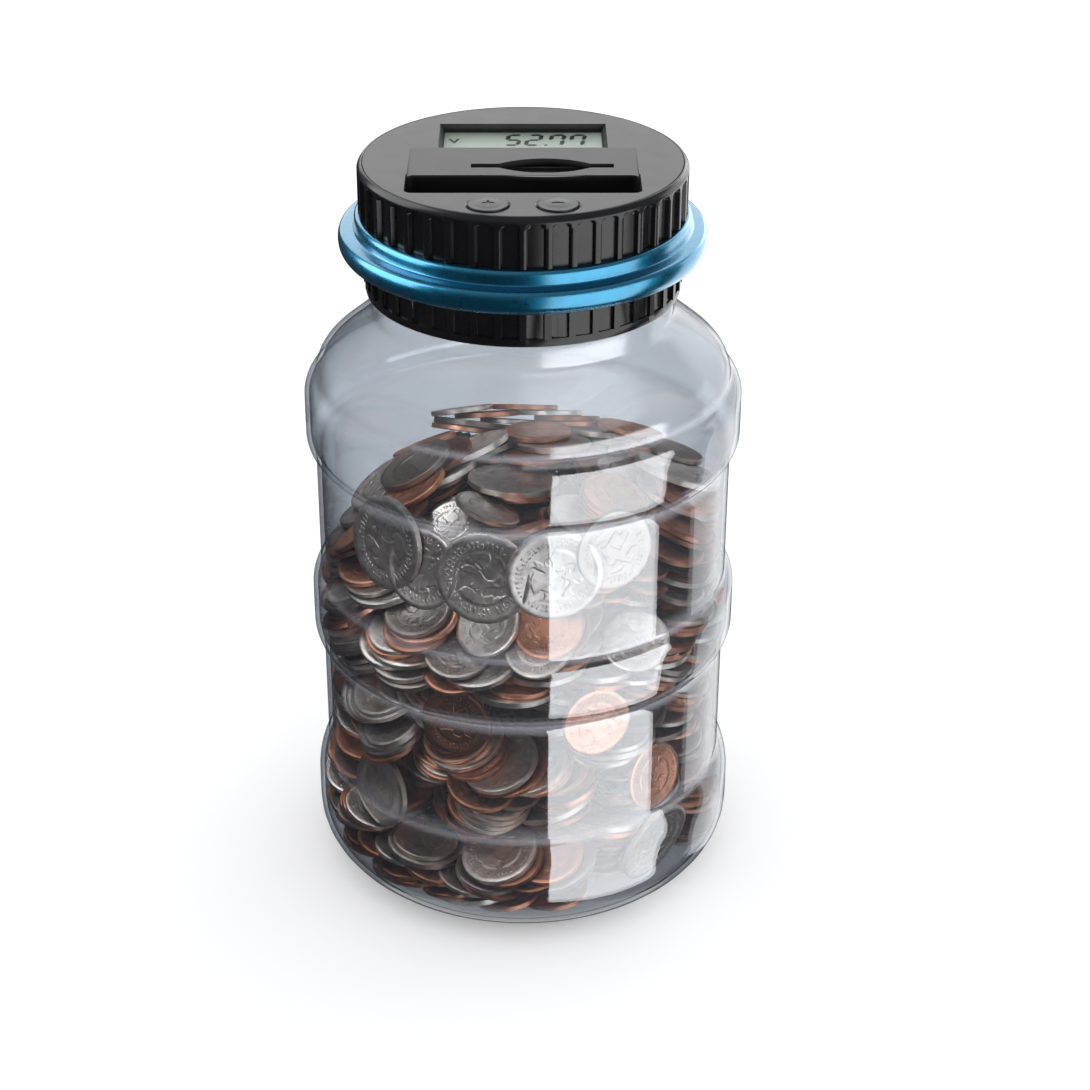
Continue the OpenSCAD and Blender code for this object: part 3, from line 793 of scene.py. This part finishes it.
def inside_jar(radius, thick, pose, gap=0.25):
    """Moves a coin inwards or down until it clears the jar's inner wall."""
    for _ in range(6):
        worst = 0.0
        push = Vector((0, 0, 0))
        for k in range(24):
            a = 2 * math.pi * k / 24
            for side in (-1, 1):
                p = pose @ Vector((radius * math.cos(a), radius * math.sin(a), side * thick / 2))
                away = math.hypot(p.x, p.y)
                limit = jar_radius(min(max(p.z, 2.4), 155), -WALL) - gap
                if away - limit > worst:
                    worst = away - limit
                    push = Vector((-p.x / away, -p.y / away, 0)) * (worst + 0.02)
                if 2.0 - p.z > worst:
                    worst = 2.0 - p.z
                    push = Vector((0, 0, worst + 0.02))
        if worst <= 0:
            break
        pose.translation += push
    return pose


def coin_rows(radius, thick):
    """Rows (radius, z) of a struck coin from one face's centre round to the other's."""
    h = thick / 2
    field = h - 0.11
    edge = h - 0.16
    top = [(0, field), (0.855 * radius, field), (0.885 * radius, h), (0.965 * radius, h), (radius, edge)]
    return [(r, -z) for r, z in top] + top[::-1]


def coin_group(name, coins, material):
    """One object for many coins, with each vertex's place on its own coin and its coin's tone."""
    vertices, faces, local, tones = [], [], [], []
    for radius, thick, tone, pose, number in coins:
        points, coin_faces = lathe(coin_rows(radius, thick), COIN_SIDES, closed=False)
        start = len(vertices)
        vertices.extend((pose @ Vector(point))[:] for point in points)
        faces.extend([i + start for i in face] for face in coin_faces)
        for x, y, z in points:
            local.extend((x / radius, y / radius, number * 0.37 + (0.0 if z > 0 else 5.0)))
        tones.extend([tone] * len(points))
    obj = mesh_piece(name, vertices, faces, "jar_body", material, sharp=38,
                     replaces=("coin_heap",))
    where = obj.data.attributes.new("coin_xy", "FLOAT_VECTOR", "POINT")
    where.data.foreach_set("vector", local)
    shade = obj.data.attributes.new("tone", "FLOAT", "POINT")
    shade.data.foreach_set("value", tones)


def make_coins():
    """The heap, in two halves of each metal."""
    kept = {"silver": [], "copper": []}
    for number, (kind, tone, pose) in enumerate(pour()):
        radius, thick, _, metal = COINS[kind]
        pose = inside_jar(radius, thick, pose)
        place = pose.translation
        buried = math.hypot(place.x, place.y) < CORE_R + 2 and place.z < HEAP_TOP - 34
        least = LEAST_UPRIGHT if place.z < TOP_FROM_Z else TOP_LEAST_UPRIGHT
        steep = abs(pose[2][2]) < least
        if number >= len(LEANING) and (buried or steep or place.z > FILL_Z):
            continue
        kept[metal].append((radius, thick, tone, pose, number))
    silver = coin_metal("coin_silver", (0.94, 0.85, 0.78), (0.68, 0.60, 0.54), (0.24, 0.19, 0.16))
    copper = coin_metal("coin_copper", (0.95, 0.50, 0.34), (0.68, 0.29, 0.17), (0.16, 0.06, 0.03))
    metals = {"silver": silver, "copper": copper}
    for metal, coins in kept.items():
        half = len(coins) // 2
        coin_group(f"coins_{metal}_low", coins[:half], metals[metal])
        coin_group(f"coins_{metal}_high", coins[half:], metals[metal])


# ---------------------------------------------------------------- lid

TOP_Z = 200.0
RIB_COUNT = 42
RIB_HALF = 0.85
CAP_R = box_mm("top_cap")[1].x
SLEEVE_R = CAP_R - 1.2


def flute(radius, z, angle, top, face_clear_of_painted_shade):
    """Radius of the grip at a point: ribs stand full out, the valleys between them are sunk."""
    pitch = 2 * math.pi * radius / RIB_COUNT
    turn = (angle * RIB_COUNT / (2 * math.pi)) % 1.0
    across = turn if turn < 0.5 else 1.0 - turn
    half = pitch / 2 - RIB_HALF
    corner = 1.3
    dx, dz = across * pitch - (half - corner), z - (top - corner)
    away = math.hypot(max(dx, 0), max(dz, 0)) + min(max(dx, dz), 0) - corner
    t = min(max((0.18 - away) / 0.5, 0), 1)
    return radius - face_clear_of_painted_shade * t * t * (3 - 2 * t)


def make_crown(material):
    """The lid's upper ring: ribs that run up into a bevelled rim."""
    low, grip_low, flute_top, rim_z = 178.1, 187.1, 198.1, 198.55
    flute_depth = 1.2
    seat_r, ledge_r, inner_r, ledge_z = 40.05, 38.0, 38.7, 198
    rows = [(SLEEVE_R, low), (SLEEVE_R, grip_low - 0.05)]
    # Rows stand close together where the valleys round off under the rim
    grip = [grip_low, 189, 191, 193, 194.5, 195.6, 196.0, 196.3, 196.6, 196.9, 197.15, 197.4, 197.6,
            197.8, 198.0, 198.3]
    rows += [(CAP_R, z) for z in grip]
    rows += [(CAP_R, rim_z), (CAP_R - 0.12, rim_z + 0.35), (CAP_R - 0.5, rim_z + 0.9),
             (CAP_R - 0.85, rim_z + 1.3), (CAP_R - 1.05, TOP_Z)]
    rows += [(seat_r + 0.1, TOP_Z), (seat_r, TOP_Z - 0.1), (seat_r, ledge_z), (ledge_r, ledge_z),
             (ledge_r, ledge_z - 0.4), (inner_r, ledge_z - 0.4), (inner_r, low)]

    def wobble(radius, z, angle):
        if radius == CAP_R and z < rim_z - 0.05:
            return flute(radius, z, angle, flute_top, flute_depth)
        return radius
    vertices, faces = lathe(rows, RIB_COUNT * 16, wobble=wobble)
    mesh_piece("crown", vertices, faces, "lid_body", material, sharp=42,
               replaces=("top_cap",))


def make_trim(material):
    """The blue ring: a fat bead, a groove and a sloping collar."""
    lowest, highest = box_mm("trim_ring")
    r, low, high = highest.x, lowest.z, highest.z
    inner = SLEEVE_R + 0.2
    seat = low + 1.1
    bead = [(r - 4.7, seat), (r - 4.0, low + 0.25), (r - 2.9, low - 0.15), (r - 1.4, low + 0.25),
            (r - 0.35, low + 1.6), (r, low + 3.3), (r - 0.12, low + 4.9), (r - 0.6, low + 6.0),
            (r - 1.5, low + 6.3)]
    collar = [(r - 3.7, low + 6.45), (r - 4.0, low + 6.7), (r - 4.05, low + 7.5), (r - 4.2, high - 0.9),
              (r - 4.6, high - 0.25), (r - 5.1, high)]
    outline = [(inner, seat), *bead, *collar, (inner, high)]
    outline = rounded(outline, keep=(outline[0], outline[-1]))
    vertices, faces = lathe(outline, 256)
    mesh_piece("trim_ring_metal", vertices, faces, "lid_body", material, sharp=60,
               replaces=("trim_ring",))


def blue_metal():
    """Metallic blue lacquer under a clear coat."""
    s = Surface("blue_metal")
    s.set(metallic=0.95, coat_weight=1.0, coat_roughness=0.16, coat_ior=1.6)
    s.color(s.ramp(s.noise(90), [(0.3, (0.003, 0.205, 0.37)), (0.7, (0.005, 0.235, 0.42))]))
    s.rough(s.spread(s.noise(400, 5), 0.24, 0.34))
    s.bump(s.noise(1800, 2), 0.000012, 0.3)
    return s.material


# ---------------------------------------------------------------- display

SEGMENTS = {"0": "abcdef", "2": "abged", "5": "afgcd", "7": "fabc"}


def bar(x0, y0, x1, y1, half):
    """Flat bar with pointed ends between two points."""
    d = Vector((x1 - x0, y1 - y0))
    along = d.normalized()
    side = Vector((-along.y, along.x))
    a, b = Vector((x0, y0)), Vector((x1, y1))
    return [a, a + (along + side) * half, b + (side - along) * half,
            b, b - (along + side) * half, a + (along - side) * half]


def digit_bars(char, width, height, half):
    """Bars of a seven-segment figure, whose segments are named a to g in the usual way."""
    gap = 0.16
    w, h = width - 2 * half, height / 2 - half
    lines = {"a": ((gap, 2 * h), (w - gap, 2 * h)), "g": ((gap, h), (w - gap, h)),
             "d": ((gap, 0), (w - gap, 0)),
             "f": ((0, h + gap), (0, 2 * h - gap)), "b": ((w, h + gap), (w, 2 * h - gap)),
             "e": ((0, gap), (0, h - gap)), "c": ((w, gap), (w, h - gap))}
    return [bar(*lines[segment][0], *lines[segment][1], half) for segment in SEGMENTS[char]]


def plate(outline, base, top):
    """Flat plate between two heights, from an outline that turns either way."""
    n = len(outline)
    area = sum(outline[i - 1][0] * outline[i][1] - outline[i][0] * outline[i - 1][1] for i in range(n))
    order = list(range(n)) if area > 0 else list(range(n))[::-1]
    vertices = [(x, y, z) for z in (base, top) for x, y in outline]
    faces = [order[::-1], [n + i for i in order]]
    for a, b in zip(order, order[1:] + order[:1]):
        faces.append([a, b, n + b, n + a])
    return vertices, faces


def make_digits(material):
    """Thin dark segments on the display's glass: a generic amount and a small arrow."""
    glass_top = box_mm("lcd_glass")[1].z
    height, width, half, pitch, slant = 8.8, 4.3, 0.56, 5.26, 0.14
    x0, y0 = -4.6, 17.4
    shapes = []
    for place, char in ((0, "5"), (1, "2"), (2.12, "7"), (3.12, "7")):
        for outline in digit_bars(char, width, height, half):
            shapes.append([(x0 + place * pitch + p.x + slant * p.y, y0 + p.y) for p in outline])
    dot = x0 + 2 * pitch - 0.55
    shapes.append([(dot, y0 - 0.4), (dot + 0.8, y0 - 0.4), (dot + 0.9, y0 + 0.5), (dot + 0.1, y0 + 0.5)])
    arrow = [(-1.6, 3.4), (0, 0), (1.4, 3.4), (0.6, 3.4), (-0.1, 1.6), (-0.8, 3.4)]
    shapes.append([(-17.6 + x, y0 + 1.2 + y) for x, y in arrow])
    parts = [plate(shape, glass_top + 0.01, glass_top + 0.05) for shape in shapes]
    vertices, faces = join_parts(parts)
    mesh_piece("lcd_segments", vertices, faces, "lid_body", material, sharp=30)


# ---------------------------------------------------------------- CAD pieces that keep their shape

def dress(node, material, bevel=0.0):
    """Gives a CAD node its material, and soft edges where they show."""
    obj = NODES[node]
    obj.data.materials.clear()
    obj.data.materials.append(material)
    if bevel:
        weld = obj.modifiers.new("weld", "WELD")
        weld.merge_threshold = 0.005 * MM
        edges = obj.modifiers.new("soft_edges", "BEVEL")
        edges.width = bevel * MM
        edges.segments = 2
        edges.limit_method = "ANGLE"
        edges.angle_limit = math.radians(40)
        edges.harden_normals = True


def zebra_rubber():
    """Rubber strip of thin conducting and clear layers."""
    s = Surface("zebra_rubber")
    wave = s.new("ShaderNodeTexWave", bands_direction="X")
    wave.inputs["Scale"].default_value = 900
    s.join(s.coords(), wave.inputs["Vector"])
    s.color(s.ramp(wave.outputs["Fac"], [(0.45, (0.08, 0.07, 0.07)), (0.55, (0.42, 0.36, 0.34))]))
    s.rough(s.spread(s.noise(300), 0.4, 0.6))
    return s.material


def lcd_material():
    """Grey-green display face with a faint painted glow that brightens it."""
    s = Surface("lcd_face")
    s.set(coat_weight=0.3, coat_roughness=0.05)
    # Painted glow: the display gives no light of its own, this emission only brightens it
    s.glow((0.60, 0.68, 0.60), 0.20)
    s.color(s.ramp(s.noise(30, 2), [(0.3, (0.66, 0.74, 0.65)), (0.7, (0.72, 0.80, 0.71))]))
    s.rough(s.spread(s.noise(200), 0.30, 0.38))
    return s.material


def lens_material():
    """Clear window: see-through, with gloss that grows at a glancing angle."""
    s = Surface("lens_clear")
    s.tree.nodes.remove(s.shader)
    clear = s.new("ShaderNodeBsdfTransparent")
    tint = s.ramp(s.noise(20, 1), [(0.3, (0.96, 0.975, 0.97)), (0.7, (0.985, 0.99, 0.985))])
    s.join(tint, clear.inputs["Color"])
    gloss = s.new("ShaderNodeBsdfGlossy")
    gloss.inputs["Roughness"].default_value = 0.02
    mirror = s.math("MULTIPLY_ADD", s.math("POWER", s.facing(), 5.0), 0.96, 0.04)
    s.join(s.layer(mirror, clear.outputs[0], gloss.outputs[0]), s.out.inputs["Surface"])
    return s.material


def board_material():
    """Green solder mask with a net of lighter tracks."""
    s = Surface("board_green")
    s.set(coat_weight=0.5, coat_roughness=0.15)
    cells = s.new("ShaderNodeTexVoronoi", feature="DISTANCE_TO_EDGE")
    cells.inputs["Scale"].default_value = 420
    s.join(s.coords(), cells.inputs["Vector"])
    s.color(s.ramp(cells.outputs["Distance"], [(0.02, (0.05, 0.30, 0.11)), (0.06, (0.02, 0.16, 0.06))]))
    s.rough(s.spread(s.noise(500), 0.3, 0.5))
    return s.material


def metal_material(name, color, rough):
    """Plain metal with uneven tarnish."""
    s = Surface(name)
    s.set(metallic=1.0)
    s.color(s.ramp(s.noise(300, 4), [(0.3, tuple(c * 0.85 for c in color)), (0.7, color)]))
    s.rough(s.spread(s.noise(700, 4), *rough))
    return s.material


def foam_material():
    """Pale open foam."""
    s = Surface("seal_foam")
    s.color(s.ramp(s.noise(800, 3), [(0.3, (0.70, 0.70, 0.68)), (0.7, (0.86, 0.86, 0.84))]))
    s.set(roughness=0.85)
    s.bump(s.noise(2200, 3), 0.00005, 0.6)
    return s.material


def panel_material():
    """Satin grey face, with painted shade that turns it black inside the openings cut into it."""
    s = Surface("panel_gloss")
    face_clear_of_painted_shade = s.spread(s.split(s.coords(), "Z"), 0, 1, 0.1984, 0.1990)
    face = s.ramp(s.noise(60), [(0.3, (0.058, 0.056, 0.057)), (0.7, (0.068, 0.065, 0.066))])
    # Painted shade: surfaces below the face, inside the openings, are coloured near black
    s.color(s.mix(face_clear_of_painted_shade, (0.006, 0.006, 0.006), face))
    s.rough(s.math("ADD", s.spread(s.noise(140, 5), 0.28, 0.34), s.spread(face_clear_of_painted_shade, 0.25, 0, 0, 1)))
    s.bump(s.noise(2200, 2), 0.000004, 0.3)
    return s.material


def cell_material():
    """Battery wrap: dark green, with a gold band over one end."""
    s = Surface("cell_wrap")
    along = s.spread(s.split(s.coords(), "X"), 0, 1, -0.022, 0.022)
    s.color(s.ramp(along, [(0.0, (0.03, 0.12, 0.07)), (0.7, (0.04, 0.15, 0.09)),
                           (0.72, (0.62, 0.42, 0.12)), (0.97, (0.66, 0.46, 0.15))]))
    s.rough(s.spread(s.noise(300), 0.25, 0.4))
    return s.material


def dress_nodes(black):
    """Materials of the CAD nodes that keep their shape, with a bevel in millimetres where an edge
    shows."""
    matte = moulded("black_matte", (0.018, 0.018, 0.019), (0.03, 0.03, 0.032), (0.45, 0.6), 2600, 0.00002)
    button = moulded("button_grey", (0.040, 0.040, 0.042), (0.055, 0.055, 0.058), (0.24, 0.34), 2400)
    lever = moulded("lever_grey", (0.03, 0.03, 0.032), (0.05, 0.05, 0.054), (0.22, 0.32))
    epoxy = moulded("epoxy_black", (0.010, 0.010, 0.010), (0.02, 0.02, 0.02), (0.12, 0.25))
    red = moulded("wire_red", (0.38, 0.02, 0.02), (0.5, 0.04, 0.035), (0.35, 0.5))
    tinned = metal_material("tinned_metal", (0.78, 0.78, 0.76), (0.15, 0.32))
    steel = metal_material("steel", (0.62, 0.62, 0.64), (0.25, 0.42))
    dress("screw_cap", black, 0.15)
    dress("battery_door", matte, 0.1)
    for node in ("button_plus", "button_minus"):
        dress(node, button, 0.12)
    plain = ((panel_material(), ("top_panel",)), (lever, ("coin_lever",)),
             (matte, ("coin_chute", "battery_tray", "lcd_frame", "coin_sensor")),
             (lcd_material(), ("lcd_glass",)), (lens_material(), ("lcd_lens",)),
             (foam_material(), ("seal_ring",)), (zebra_rubber(), ("zebra_strips",)),
             (board_material(), ("main_board", "switch_board")), (epoxy, ("chip_blob",)),
             (tinned, ("board_parts", "tact_switches", "contact_springs", "contact_plates")),
             (steel, ("lever_pin", "lever_spring", "cover_screws")),
             (cell_material(), ("cell_left", "cell_right")), (red, ("wires",)))
    for material, nodes in plain:
        for node in nodes:
            dress(node, material)


# ---------------------------------------------------------------- build

SCENE.view_settings.view_transform = "Standard"
make_camera()
make_world()
make_floor()
black_gloss = moulded("black_gloss", (0.005, 0.005, 0.006), (0.009, 0.009, 0.010), (0.20, 0.30))
dress_nodes(black_gloss)
make_jar()
make_coins()
make_crown(black_gloss)
make_trim(blue_metal())
make_digits(moulded("lcd_ink", (0.015, 0.018, 0.015), (0.03, 0.035, 0.03), (0.4, 0.5)))
make_lights()
